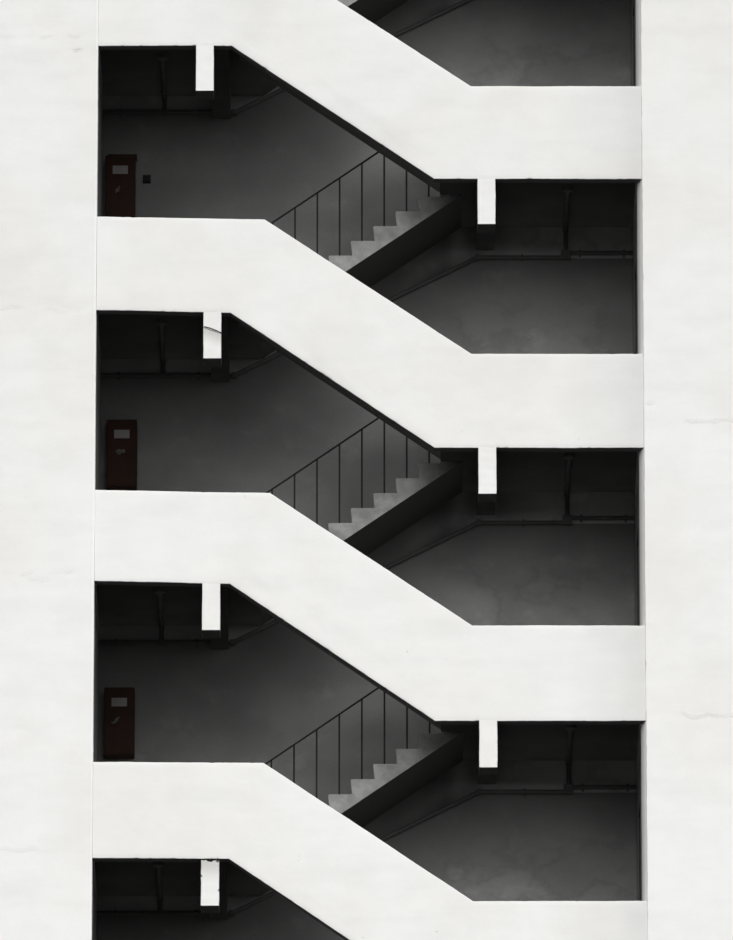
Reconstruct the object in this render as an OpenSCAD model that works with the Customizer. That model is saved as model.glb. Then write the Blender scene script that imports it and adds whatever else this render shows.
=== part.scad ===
// Fire escape stair: a dog-leg stair of painted concrete in a tall recess of a building.
// Every storey has a floor landing on the right, a half landing on the left and two flights.
// Level and sloping parapet bands close the front, and a slab roof covers the top storey.
// Millimetres, +Z up, the open front faces -Y, origin in the middle of the base.

/* [Flights] */
// Height of one riser
riser = 175; // [160:1:185]
// Going of one tread
going = 250; // [240:1:260]
// Risers in one flight
flight_risers = 9; // [8:1:9]
// How far the foot of a riser lies behind its nosing
rake = 18; // [0:1:30]
// Width of a flight
flight_w = 1100; // [900:10:1300]
// Gap between the two flights
well_w = 60; // [60:5:150]
// Thickness of a landing, and of a flight's waist measured upright
slab_t = 150; // [120:5:175]

/* [Walls] */
// Clear width between the two side walls
clear_w = 6000; // [5900:10:6400]
// Thickness of the walls
wall_t = 200; // [150:10:300]
// Width of the front wall on each side of the opening
wing_w = 1200; // [400:10:2000]
// Height of the floor slab above the ground
base_h = 150; // [150:5:175]
// Height of the kerb round the roof
kerb_h = 150; // [80:10:300]
// Thickness of the kerb
kerb_t = 100; // [60:10:140]
// Depth of the roof's front edge below the roof slab
edge_drop = 400; // [200:10:500]

/* [Parapet bands] */
// Thickness of a band
band_t = 130; // [100:5:180]
// How far the bands stand back from the front wall's face
band_recess = 20; // [5:1:40]
// Height of a band above its landing
band_above = 675; // [600:5:1100]
// Depth of a band below its landing
band_below = 425; // [200:5:450]
// Left wall to the first bend of a band's upper edge
upper_bend = 1862; // [1800:1:1900]
// Length of the sloping upper edge along the front
upper_run = 2290; // [2200:1:2350]
// Left wall to the first bend of a band's lower edge
lower_bend = 1490; // [1450:1:1550]
// Length of the sloping lower edge along the front
lower_run = 2253; // [2200:1:2350]

/* [Beams and stubs] */
// Width of the beams under the landings and of their hanging stubs
beam_w = 200; // [150:5:220]
// Left wall to the middle of a half landing's beam
half_beam_x = 1350; // [1300:5:1400]
// Left wall to the middle of a floor landing's beam
floor_beam_x = 4325; // [4300:5:4500]
// Length of a stub below the band
stub_drop = 535; // [300:5:600]
// Depth of a stub from front to back
stub_depth = 280; // [200:5:400]

/* [Stair position] */
// Left wall to the lowest riser of a rear flight and the highest riser of a front flight
rear_foot = 1815; // [1700:5:1850]

/* [Well rail] */
// Height of the rail above the treads
rail_h = 950; // [850:10:1100]
// Side of a square baluster
baluster = 20; // [14:1:30]
// Width of the flat top rail
rail_w = 40; // [25:1:50]
// Thickness of the flat top rail
rail_t = 12; // [8:1:20]
// Middle of a baluster to the edge of the flight
rail_inset = 35; // [25:1:60]

/* [Fire doors] */
// Front face to the near side of a doorway
door_near = 700; // [600:10:1000]
// Width of a doorway
door_w = 900; // [750:10:1000]
// Height of a doorway
door_h = 2100; // [1950:10:2200]
// Face width of a door frame
frame_w = 45; // [30:1:70]
// Depth of a door frame
frame_d = 110; // [80:1:150]
// Thickness of a door leaf
leaf_t = 44; // [38:1:60]

/* [Wall cabinets] */
// Width of a cabinet
cabinet_w = 340; // [300:5:400]
// Height of a cabinet
cabinet_h = 785; // [700:5:950]
// Depth of a cabinet
cabinet_d = 180; // [140:5:220]
// Half landing to the top of a cabinet
cabinet_top = 2225; // [2000:5:2450]
// Radius of a cabinet's corners seen from the front
cabinet_corner = 18; // [4:1:40]
// Edge of the cabinet that stays free round its door
cabinet_rim = 14; // [8:1:30]
// How far the cabinet's door stands proud
door_proud = 10; // [2:1:20]
// Width of a label plate
plate_w = 172; // [120:1:220]
// Height of a label plate
plate_h = 100; // [80:1:140]
// Left edge of the cabinet to the label plate
plate_in = 84; // [40:1:120]
// Top of the cabinet to the label plate
plate_down = 125; // [80:1:200]
// Left edge of the cabinet to the middle of its handle
handle_in = 140; // [100:1:240]
// Top of the cabinet to the middle of its handle
handle_down = 385; // [300:1:500]
// Diameter of the handle's round base
handle_d = 62; // [40:1:90]
// Length of the handle's lever
lever_l = 96; // [60:1:130]
// Width of the handle's lever
lever_w = 24; // [12:1:30]

/* [Conduits] */
// Diameter of a surface conduit
tube_d = 50; // [30:1:60]
// Side of a joint box
joint_w = 60; // [60:1:90]
// Half landing to the middle of the conduit below it
half_conduit_drop = 355; // [210:1:390]
// Floor landing to the middle of the conduit below it
floor_conduit_drop = 522; // [480:1:560]
// Left wall to the bend where the conduit starts to climb
conduit_foot_x = 1500; // [1490:1:1700]
// Left wall to the bend where the conduit is level again
conduit_head_x = 4245; // [4100:1:4400]
// How much higher the conduit goes on beyond the branch to a floor landing's light point
conduit_step = 55; // [50:1:80]
// Side of the square box where the conduit steps up
branch_box_w = 110; // [100:1:140]
// Diameter of the round box at a light point
light_d = 120; // [80:1:160]
// Front face to the middle of a light point
light_y = 1050; // [900:10:1900]
// Left wall to the light point under a half landing
half_light_x = 700; // [500:10:900]
// Left wall to the light point under a floor landing
floor_light_x = 5242; // [5000:1:5500]
// Side of the square call box beside the cabinet on one half landing
call_box_w = 86; // [70:1:100]
// Depth of the call box
call_box_d = 40; // [20:1:60]
// Left wall to the middle of the call box
call_box_x = 506; // [480:1:600]
// Half landing to the middle of the call box
call_box_z = 1995; // [1400:5:2100]

/* [Hidden] */

storeys = 5;
flight_h = flight_risers * riser;
storey_h = 2 * flight_h;
slope = riser / going;

// Depths are counted from the front wall's outer face, widths from the left wall's inner face.
band_back = band_recess + band_t;
well_front = band_back + flight_w;
well_back = well_front + well_w;
rear_face = well_back + flight_w;
depth = rear_face + wall_t;
wall_top = base_h + (storeys + 1) * storey_h - slab_t;
tower_h = wall_top + slab_t + kerb_h;

// The two flights lie between the same two lines: the lowest riser of one faces the highest of the
// other. The last tread is level with the landing, and a flight's head is where that tread ends.
front_foot = rear_foot + (flight_risers - 1) * going;
rear_head = rear_foot + flight_risers * going;
front_head = front_foot - flight_risers * going;

// Front of the door frame inside the right wall
frame_setback = (wall_t - frame_d) / 2;

// How much lower each band's upper edge was cast over its half landing, from the lowest band up
top_cast_low = [0, 0, 45, 0, 0];

// How much higher each band's left end was cast than its first bend
end_cast_high = [0, 10, 35, 35, 0];

// How far each left stub was cast to the left of its beam, from the lowest up
stub_shift = [65, 65, 65, 65, 160];

// Cabinets hang at slightly different distances from the left wall, from the lowest to the highest
cabinet_x = [66, 66, 75, 38, 66];

// How steeply each cabinet's lever was left standing
lever_angle = [20, 50, 8, 60, 35];

plate_t = 3;
lever_t = 10;

// The call box hangs over this half landing
call_box_storey = 4;

// Cutters and joints reach this far into their neighbours
lap = 1;

white_paint = "whitesmoke";
grey_paint = "gray";
step_paint = "silver";
rail_paint = [0.12, 0.12, 0.12];
door_paint = [0.22, 0.2, 0.19];
cabinet_paint = [0.3, 0.07, 0.06];
plate_paint = "white";
conduit_paint = "dimgray";

// Level of floor landing k, counted from the floor slab as 0
function floor_z(k) = base_h + k * storey_h;

// Level of half landing k, which lies below floor landing k
function half_z(k) = floor_z(k) - flight_h;

// Middle of the stub under half landing k
function left_stub_x(k) = half_beam_x - stub_shift[k - 1];

// Outline of a rectangle with round corners, from its lower left corner
function rounded(w, h, r) = [
    for (corner = [[w - r, h - r, 0], [r, h - r, 90], [r, r, 180], [w - r, r, 270]], turn = [0:15:90])
        [corner[0] + r * cos(corner[2] + turn), corner[1] + r * sin(corner[2] + turn)]
];

// Moves a shape from the building's own corner to the part's origin
module seat() {
    translate([-clear_w / 2, -depth / 2, 0])
        children();
}

// Extrudes an outline drawn in width and height from front to back
module upright(from_y, to_y) {
    translate([0, to_y, 0])
        rotate([90, 0, 0])
            linear_extrude(to_y - from_y)
                children();
}

module ground_slab() {
    exit_x = upper_bend + upper_run;
    color(grey_paint)
        seat()
            linear_extrude(base_h)
                polygon([
                    [0, band_back], [exit_x, band_back], [exit_x, 0], [clear_w, 0],
                    [clear_w, rear_face], [0, rear_face]
                ]);
}

module left_wall() {
    color(grey_paint)
        seat()
            translate([-wall_t, wall_t, 0])
                cube([wall_t, depth - wall_t, wall_top]);
}

module right_wall() {
    color(grey_paint)
        seat()
            difference() {
                translate([clear_w, wall_t, 0])
                    cube([wall_t, depth - wall_t, wall_top]);
                for (k = [0:storeys])
                    translate([clear_w - lap, door_near, floor_z(k)])
                        cube([wall_t + 2 * lap, door_w, door_h]);
            }
}

module rear_wall() {
    color(grey_paint)
        seat()
            translate([0, rear_face, 0])
                cube([clear_w, wall_t, wall_top]);
}

// Front wall beside the opening
module wing(from_x) {
    color(white_paint)
        seat()
            translate([from_x, 0, 0])
                cube([wing_w, wall_t, tower_h]);
}

// Plan of the roof, which reaches forward between the wings
module roof_plan() {
    polygon([
        [0, band_recess], [clear_w, band_recess], [clear_w, wall_t], [clear_w + wall_t, wall_t],
        [clear_w + wall_t, depth], [-wall_t, depth], [-wall_t, wall_t], [0, wall_t]
    ]);
}

// Slab roof with a kerb all round and a deep edge over the opening
module roof() {
    color(white_paint)
        seat() {
            difference() {
                translate([0, 0, wall_top])
                    linear_extrude(slab_t + kerb_h)
                        roof_plan();
                translate([kerb_t - wall_t, wall_t + kerb_t, wall_top + slab_t])
                    cube([clear_w + 2 * (wall_t - kerb_t), depth - wall_t - 2 * kerb_t, kerb_h + lap]);
            }
            translate([0, band_recess, wall_top - edge_drop])
                cube([clear_w, wall_t - band_recess, edge_drop + lap]);
        }
}

// Slab of a landing, with the beam that carries the flights' ends
module landing(outline, beam_x, level) {
    color(grey_paint)
        seat() {
            translate([0, 0, level - slab_t])
                linear_extrude(slab_t)
                    polygon(outline);
            translate([beam_x - beam_w / 2, band_back, level - band_below])
                cube([beam_w, rear_face - band_back, band_below - slab_t + lap]);
        }
}

module floor_landing(k) {
    landing([
        [front_foot, band_back], [clear_w, band_back], [clear_w, rear_face],
        [rear_head, rear_face], [rear_head, well_back], [front_foot, well_back]
    ], floor_beam_x, floor_z(k));
}

module half_landing(k) {
    landing([
        [0, band_back], [front_head, band_back], [front_head, well_front],
        [rear_foot, well_front], [rear_foot, rear_face], [0, rear_face]
    ], half_beam_x, half_z(k));
}

// Outline of a flight that climbs to the right from its foot at the origin
function flight_outline(on_ground) = concat(
    on_ground ? [] : [[0, 0]],
    [for (i = [0:flight_risers - 1]) each [[i * going + rake, i * riser], [i * going, (i + 1) * riser]]],
    [[flight_risers * going, flight_h], [flight_risers * going, flight_h - slab_t]],
    on_ground ? [[slab_t / slope, 0]] : [[0, -slab_t]]
);

module rear_flight(k) {
    color(step_paint)
        seat()
            translate([rear_foot, 0, half_z(k)])
                upright(well_back, rear_face)
                    polygon(flight_outline(false));
}

module front_flight(k) {
    color(step_paint)
        seat()
            translate([front_foot, 0, floor_z(k - 1)])
                upright(band_back, well_front)
                    mirror([1, 0])
                        polygon(flight_outline(k == 1));
}

// Solid parapet along half landing k, front flight k and the floor landing below
module front_band(k) {
    left_z = half_z(k);
    right_z = floor_z(k - 1);
    upper_end = upper_bend + upper_run;
    lower_end = lower_bend + lower_run;
    upper_z = left_z + band_above - top_cast_low[k - 1];
    rise = end_cast_high[k - 1];
    // The casting error leaves the sloping edge where it is, so the bend moves down the slope
    bend_x = upper_bend + top_cast_low[k - 1] * upper_run / flight_h;
    upper_edge = [[bend_x, upper_z], [0, upper_z + rise]];
    lower_edge = [[0, left_z - band_below + rise], [lower_bend, left_z - band_below]];
    right_part = [
        [lower_end, right_z - band_below], [clear_w, right_z - band_below],
        [clear_w, right_z + band_above], [upper_end, right_z + band_above]
    ];
    // The lowest band stops at the open exit and stands on the ground
    ground_x = lower_bend + (left_z - band_below) * lower_run / flight_h;
    exit_part = [[ground_x, 0], [upper_end, 0], [upper_end, right_z + band_above]];
    color(white_paint)
        seat()
            upright(band_recess, band_back)
                polygon(concat(upper_edge, lower_edge, k == 1 ? exit_part : right_part));
}

// Parapet of the highest landing, with a return along the landing's open edge
module top_parapet() {
    level = floor_z(storeys);
    color(white_paint)
        seat() {
            translate([front_foot, band_recess, level - band_below])
                cube([clear_w - front_foot, band_t, band_below + band_above]);
            translate([front_foot, band_back - lap, level])
                cube([band_t, flight_w + lap, band_above]);
        }
}

// Side view of a run's top rail: level at its foot, up the flight, level over the landing
function rail_line() = [
    [-going / 2 - rail_w / 2, rail_h],
    [-going / 2 + rail_w / 2, rail_h],
    [(flight_risers - 0.5) * going, flight_h + rail_h],
    [(flight_risers + 0.5) * going + rail_w / 2, flight_h + rail_h]
];

// Side view of a baluster with its top inside the rail
module baluster_side(x, foot_z) {
    left = x - baluster / 2;
    right = x + baluster / 2;
    polygon([
        [left, foot_z], [right, foot_z],
        [right, lookup(right, rail_line()) - rail_t / 2],
        [left, lookup(left, rail_line()) - rail_t / 2]
    ]);
}

// Rail of one flight that climbs to the right, from its foot at the origin
module rail_run(at_y) {
    upright(at_y - rail_w / 2, at_y + rail_w / 2)
        polygon(concat(rail_line(), [for (i = [3:-1:0]) rail_line()[i] - [0, rail_t]]));
    upright(at_y - baluster / 2, at_y + baluster / 2)
        for (i = [0:flight_risers + 1])
            baluster_side((i - 0.5) * going, min(i, flight_risers) * riser);
}

// Rails of front flight k and rear flight k along the two sides of the well
module well_rail(k) {
    color(rail_paint)
        seat() {
            translate([front_foot, 0, floor_z(k - 1)])
                mirror([1, 0, 0])
                    rail_run(well_front - rail_inset);
            translate([rear_foot, 0, half_z(k)])
                rail_run(well_back + rail_inset);
        }
}

// Short pier that hangs below a band at the front end of a beam
module stub(beam_x, level) {
    translate([beam_x - beam_w / 2, band_recess, level - band_below - stub_drop])
        cube([beam_w, stub_depth, stub_drop]);
}

module left_stubs() {
    color(white_paint)
        seat()
            for (k = [1:storeys])
                stub(left_stub_x(k), half_z(k));
}

module right_stubs() {
    color(white_paint)
        seat()
            for (k = [1:storeys])
                stub(floor_beam_x, floor_z(k));
}

// Frame and closed leaf in every doorway of the right wall
module fire_doors() {
    leaf_in = (frame_d - leaf_t) / 2;
    color(door_paint)
        seat()
            for (k = [0:storeys])
                translate([clear_w + frame_setback, door_near, floor_z(k)])
                    difference() {
                        cube([frame_d, door_w, door_h]);
                        for (side_x = [-lap, leaf_in + leaf_t])
                            translate([side_x, frame_w, -lap])
                                cube([leaf_in + lap, door_w - 2 * frame_w, door_h - frame_w + lap]);
                    }
}

// Steel cabinet with a proud door, with its back at y 0
module wall_cabinet() {
    upright(door_proud - cabinet_d, 0)
        polygon(rounded(cabinet_w, cabinet_h, cabinet_corner));
    translate([cabinet_rim, 0, cabinet_rim])
        upright(-cabinet_d, door_proud - cabinet_d + lap)
            polygon(rounded(
                cabinet_w - 2 * cabinet_rim, cabinet_h - 2 * cabinet_rim, cabinet_corner - cabinet_rim / 2
            ));
}

module wall_cabinets() {
    color(cabinet_paint)
        seat()
            for (k = [1:storeys])
                translate([cabinet_x[k - 1], rear_face, half_z(k) + cabinet_top - cabinet_h])
                    wall_cabinet();
}

// Blank label plate, from the cabinet door's upper left corner
module label_plate() {
    translate([plate_in, -plate_t, -plate_down - plate_h])
        cube([plate_w, plate_t, plate_h]);
}

// Lever handle on a round base, from the cabinet door's upper left corner
module lever_handle(angle) {
    translate([handle_in, 0, -handle_down])
        rotate([90, 0, 0]) {
            cylinder(d = handle_d, h = lever_t, $fn = 32);
            rotate([0, 0, angle])
                translate([-lever_l / 2, -lever_w / 2, lever_t - lap])
                    cube([lever_l, lever_w, lever_t]);
        }
}

module cabinet_plates() {
    color(plate_paint)
        seat()
            for (k = [1:storeys])
                translate([cabinet_x[k - 1], rear_face - cabinet_d, half_z(k) + cabinet_top]) {
                    label_plate();
                    lever_handle(lever_angle[k - 1]);
                }
}

// Straight tube between two points
module tube(from, to) {
    run = to - from;
    translate(from)
        rotate([0, acos(run[2] / norm(run)), atan2(run[1], run[0])])
            cylinder(d = tube_d, h = norm(run), $fn = 24);
}

// Square box on the rear wall with a given middle, width and depth
module wall_box(x, z, w, d) {
    translate([x - w / 2, rear_face - d, z - w / 2])
        cube([w, d, w]);
}

// Branch that runs up the wall from the main conduit, along the soffit and to the light point
module soffit_branch(x, level, main_z) {
    soffit_z = level - slab_t;
    tube_z = soffit_z - tube_d / 2;
    wall_y = rear_face - tube_d / 2;
    translate([x, light_y, soffit_z - tube_d])
        cylinder(d = light_d, h = tube_d, $fn = 32);
    tube([x, light_y, tube_z], [x, rear_face - joint_w / 2, tube_z]);
    wall_box(x, soffit_z - joint_w / 2, joint_w, joint_w);
    tube([x, wall_y, main_z], [x, wall_y, tube_z]);
}

// Surface conduits of one storey: level under each landing and sloping between them
module storey_conduits(k) {
    y = rear_face - tube_d / 2;
    low_z = half_z(k) - half_conduit_drop;
    high_z = floor_z(k) - floor_conduit_drop;
    beam_left = half_beam_x - beam_w / 2;
    tube([0, y, low_z], [beam_left, y, low_z]);
    tube([beam_left + beam_w, y, low_z], [conduit_foot_x, y, low_z]);
    tube([conduit_foot_x, y, low_z], [conduit_head_x, y, high_z]);
    tube([conduit_head_x, y, high_z], [floor_light_x, y, high_z]);
    tube([floor_light_x, y, high_z + conduit_step], [clear_w, y, high_z + conduit_step]);
    wall_box(conduit_foot_x, low_z, joint_w, joint_w);
    wall_box(conduit_head_x, high_z, joint_w, joint_w);
    wall_box(half_light_x, low_z, joint_w, joint_w);
    wall_box(floor_light_x, high_z + conduit_step / 2, branch_box_w, joint_w);
    soffit_branch(half_light_x, half_z(k), low_z);
    soffit_branch(floor_light_x, floor_z(k), high_z);
}

module conduits() {
    color(conduit_paint)
        seat() {
            for (k = [1:storeys])
                storey_conduits(k);
            wall_box(call_box_x, half_z(call_box_storey) + call_box_z, call_box_w, call_box_d);
        }
}

ground_slab();
left_wall();
right_wall();
rear_wall();
wing(-wing_w);  // left_wing
wing(clear_w);  // right_wing
roof();
for (k = [1:storeys]) {
    floor_landing(k);
    half_landing(k);
    front_flight(k);
    rear_flight(k);
    front_band(k);
    well_rail(k);
}
top_parapet();
left_stubs();
right_stubs();
fire_doors();
wall_cabinets();
cabinet_plates();
conduits();
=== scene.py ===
# %% [markdown]
# # A fire escape stair of painted concrete
# This lesson dresses a tall open-fronted stair tower. Its construction arrives as a imported frame:
# walls, landings, flights, parapet bands, rails, doors and cabinets, each at its real size in metres.
# Blender adds what a mason and a painter leave behind: rounded and chipped edges, trowel marks,
# worn treads, old paint and grime, and some light and shade is painted into the colours. The first
# cell loads the frame. Nothing that is added may make the building larger.

# %% Load the frame
import math

import bpy
import numpy as np
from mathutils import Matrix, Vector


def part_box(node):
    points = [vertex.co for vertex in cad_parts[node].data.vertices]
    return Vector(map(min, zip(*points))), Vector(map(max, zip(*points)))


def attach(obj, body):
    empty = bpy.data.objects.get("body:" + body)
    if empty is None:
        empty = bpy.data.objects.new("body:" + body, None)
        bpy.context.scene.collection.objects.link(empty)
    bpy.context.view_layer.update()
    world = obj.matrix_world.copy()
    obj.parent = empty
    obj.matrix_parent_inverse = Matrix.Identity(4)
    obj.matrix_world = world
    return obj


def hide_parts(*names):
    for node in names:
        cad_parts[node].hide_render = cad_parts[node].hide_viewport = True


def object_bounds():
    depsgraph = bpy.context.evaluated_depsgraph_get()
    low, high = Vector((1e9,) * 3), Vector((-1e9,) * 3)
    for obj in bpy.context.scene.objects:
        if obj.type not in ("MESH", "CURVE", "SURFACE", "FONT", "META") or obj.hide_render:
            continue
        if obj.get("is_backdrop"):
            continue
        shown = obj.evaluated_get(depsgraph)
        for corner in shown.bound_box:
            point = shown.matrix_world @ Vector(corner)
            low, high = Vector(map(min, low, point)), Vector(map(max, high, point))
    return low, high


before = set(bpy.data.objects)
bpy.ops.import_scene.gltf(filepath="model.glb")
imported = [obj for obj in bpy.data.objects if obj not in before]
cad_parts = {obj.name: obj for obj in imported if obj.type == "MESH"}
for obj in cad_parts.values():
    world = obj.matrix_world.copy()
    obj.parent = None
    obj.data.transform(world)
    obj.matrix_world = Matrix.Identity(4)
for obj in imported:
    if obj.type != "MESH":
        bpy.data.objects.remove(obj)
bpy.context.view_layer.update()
print("pieces in the frame:", len(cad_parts))

# %% [markdown]
# The levels and planes that every later step needs are read from the frame, so that no size is
# written twice. A floor landing is at the right of the stair, a half landing at the left.

# %% Levels and planes
STOREYS = range(1, 6)
floor_z = {k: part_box(f"floor_landing_{k}")[1].z for k in STOREYS}
floor_z[0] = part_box("ground_slab")[1].z
half_z = {k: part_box(f"half_landing_{k}")[1].z for k in STOREYS}
storey_h = floor_z[2] - floor_z[1]

left_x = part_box("left_wall")[1].x
right_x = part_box("right_wall")[0].x
band_y, band_back_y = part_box("front_band_3")[0].y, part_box("front_band_3")[1].y
rear_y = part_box("rear_wall")[0].y
top_band_low, top_band_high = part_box("front_band_5")
band_below = floor_z[4] - top_band_low.z
band_above = top_band_high.z - half_z[5]
slab_t = floor_z[5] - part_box("rear_flight_5")[0].z - storey_h / 2
print(f"storey height {storey_h:.3f} m, clear width {right_x - left_x:.3f} m")
print("floor landings at", [round(z, 3) for z in floor_z.values()])

# %% [markdown]
# ## The camera
# The building is seen from far away and from below, with a very long lens. Such a lens keeps
# upright lines upright, and the view tilts up by about 18 degrees. The distance was chosen, and the
# tilt and the lens were then worked out from the slopes and spacings of the parapets.

# %% Camera
CAMERA_DISTANCE = 130.0
CAMERA_HEIGHT = -33.5836
CAMERA_SIDE = -0.00861
CAMERA_TILT = math.radians(18.274)
SENSOR = 36.0
FRAME_HEIGHT_PX = 940
FOCAL_PX = 12294.14

camera_data = bpy.data.cameras.new("view")
camera_data.sensor_width = SENSOR
camera_data.lens = FOCAL_PX * SENSOR / FRAME_HEIGHT_PX
camera_data.clip_end = 4 * CAMERA_DISTANCE
camera = bpy.data.objects.new("view", camera_data)
camera.location = (CAMERA_SIDE, -CAMERA_DISTANCE, CAMERA_HEIGHT)
camera.rotation_euler = (math.pi / 2 + CAMERA_TILT, 0, 0)
bpy.context.scene.collection.objects.link(camera)
bpy.context.scene.camera = camera
bpy.context.scene.view_settings.view_transform = "Standard"
print(f"lens {camera_data.lens:.0f} mm, tilt {math.degrees(CAMERA_TILT):.1f} degrees")

# %% [markdown]
# ## Nodes by hand
# Every finish below is a small graph of nodes. A painter thinks in layers: a coat, then dirt on it,
# then what has rubbed off. The helper class keeps one graph and has a method for each kind of node
# that these layers use, so that a finish reads as a list of layers. All patterns read Object
# coordinates. Each piece's own origin is the building's origin, so a pattern is true to scale and
# runs on from piece to piece.

# %% A helper for finishes
def add_node(tree, kind, *inputs, **settings):
    """Adds a node. Each input is a pair of a socket and a value or another node's output."""
    made = tree.nodes.new(kind)
    for key, value in settings.items():
        setattr(made, key, value)
    for socket, value in inputs:
        if isinstance(value, bpy.types.NodeSocket):
            tree.links.new(value, made.inputs[socket])
        else:
            made.inputs[socket].default_value = value
    return made


def number(tree, operation, *values):
    """The result of a sum on numbers."""
    return add_node(tree, "ShaderNodeMath", *enumerate(values), operation=operation).outputs[0]


class Finish:
    """A material whose colour, roughness and bump are built up in layers."""

    def __init__(self, name, roughness=0.8, specular=0.5):
        self.material = bpy.data.materials.new(name)
        self.material.use_nodes = True
        self.tree = self.material.node_tree
        self.shader = self.tree.nodes["Principled BSDF"]
        self.shader.inputs["Roughness"].default_value = roughness
        self.shader.inputs["Specular IOR Level"].default_value = specular
        self.place = self.node("ShaderNodeTexCoord").outputs["Object"]
        self.x, self.y, self.z = self.node("ShaderNodeSeparateXYZ", (0, self.place)).outputs
        facing = self.node("ShaderNodeNewGeometry").outputs["Normal"]
        self.aside, _, self.up = self.node("ShaderNodeSeparateXYZ", (0, facing)).outputs

    def node(self, kind, *inputs, **settings):
        return add_node(self.tree, kind, *inputs, **settings)

    def math(self, operation, a, b=0.0):
        return number(self.tree, operation, a, b)

    def times(self, a, b):
        return self.math("MULTIPLY", a, b)

    def plus(self, a, b):
        return self.math("ADD", a, b)

    def minus(self, a, b):
        return self.math("SUBTRACT", a, b)

    def remainder(self, value, period):
        """What is left of a value after all its whole periods, so that a pattern comes again."""
        return self.math("FLOORED_MODULO", value, period)

    def between(self, share, first, second):
        """Goes from the first number to the second as the share goes from zero to one."""
        return self.node("ShaderNodeMix", (0, share), (2, first), (3, second)).outputs[0]

    def ramp(self, value, low, high, from_value=0.0, to_value=1.0, kind="SMOOTHSTEP"):
        """Goes from from_value at low to to_value at high, and stays level outside."""
        return self.node(
            "ShaderNodeMapRange", ("Value", value), ("From Min", low), ("From Max", high),
            ("To Min", from_value), ("To Max", to_value), interpolation_type=kind).outputs[0]

    def noise(self, scale, detail=3.0, stretch=(1, 1, 1), shift=(0, 0, 0), roughness=0.5, place=None):
        """Cloudy noise with scale features in a metre, drawn out where stretch is small."""
        moved = self.node("ShaderNodeMapping", ("Vector", place or self.place),
                          ("Location", shift), ("Scale", stretch)).outputs[0]
        return self.node("ShaderNodeTexNoise", ("Vector", moved), ("Scale", scale),
                         ("Detail", detail), ("Roughness", roughness)).outputs["Fac"]

    def mix(self, amount, below, above):
        """Lays the colour above over the colour below. Either may be (red, green, blue)."""
        below, above = ((*c, 1.0) if isinstance(c, tuple) else c for c in (below, above))
        return self.node("ShaderNodeMix", (0, amount), (6, below), (7, above), data_type="RGBA").outputs[2]

    def shade(self, colour, factor):
        """Makes the colour lighter or darker by a factor."""
        factors = self.node("ShaderNodeCombineXYZ", (0, factor), (1, factor), (2, factor)).outputs[0]
        return self.node("ShaderNodeVectorMath", (0, colour), (1, factors), operation="MULTIPLY").outputs[0]

    def tone(self, colour, value, low, high, from_factor, to_factor):
        """Shades the colour by a factor that goes with a value, as a ramp does."""
        return self.shade(colour, self.ramp(value, low, high, from_factor, to_factor))

    def stripe(self, value, middle, half_width):
        """One at the middle and zero beyond half_width on both sides."""
        away = self.math("ABSOLUTE", self.minus(value, middle))
        return self.ramp(away, 0.0, half_width, 1.0, 0.0)

    def bump(self, height, distance, strength=1.0):
        """Tilts the surface as if it had this height, with distance as the height of one."""
        before = self.shader.inputs["Normal"]
        made = self.node("ShaderNodeBump", ("Height", height), ("Distance", distance),
                         ("Strength", strength))
        if before.is_linked:
            self.tree.links.new(before.links[0].from_socket, made.inputs["Normal"])
        self.tree.links.new(made.outputs[0], before)

    def finish(self, colour, roughness=None):
        """Joins the last colour, and a roughness where it varies, to the shader."""
        self.tree.links.new(colour, self.shader.inputs["Base Color"])
        if roughness is not None:
            self.tree.links.new(roughness, self.shader.inputs["Roughness"])
        print("finish", self.material.name, "has", len(self.tree.nodes), "nodes")
        return self.material


# %% [markdown]
# ## White masonry paint
# The front is brushed with a matt white paint over trowelled render. It is nearly even: broad
# clouds a few hundredths lighter or darker, level smears, a fine grain, and dust that stays on what
# faces up. It is a little lighter near the ground and a little darker higher up. Concrete walls are
# cast in lifts, and each lift leaves a faint ledge that the paint hides in places only. A lift is given
# by its height and the stretches where it shows. What faces down is painted nearly black as painted
# shade, and the stubs' sides are painted darker as shade too.
# Under a sloping line, such as a crack, a thin dark line is painted shadow, and the grey fade below it
# is partly stain and partly painted shade. The bands have smears along their slope.

# %% White paint
WHITE = (0.86, 0.86, 0.845)
WARM_WHITE = (0.83, 0.82, 0.79)
DUST = (0.42, 0.41, 0.38)
PAINTED_SHADE = (0.042, 0.042, 0.041)
PIER_PAINTED_SHADE = (0.022, 0.022, 0.021)


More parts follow.
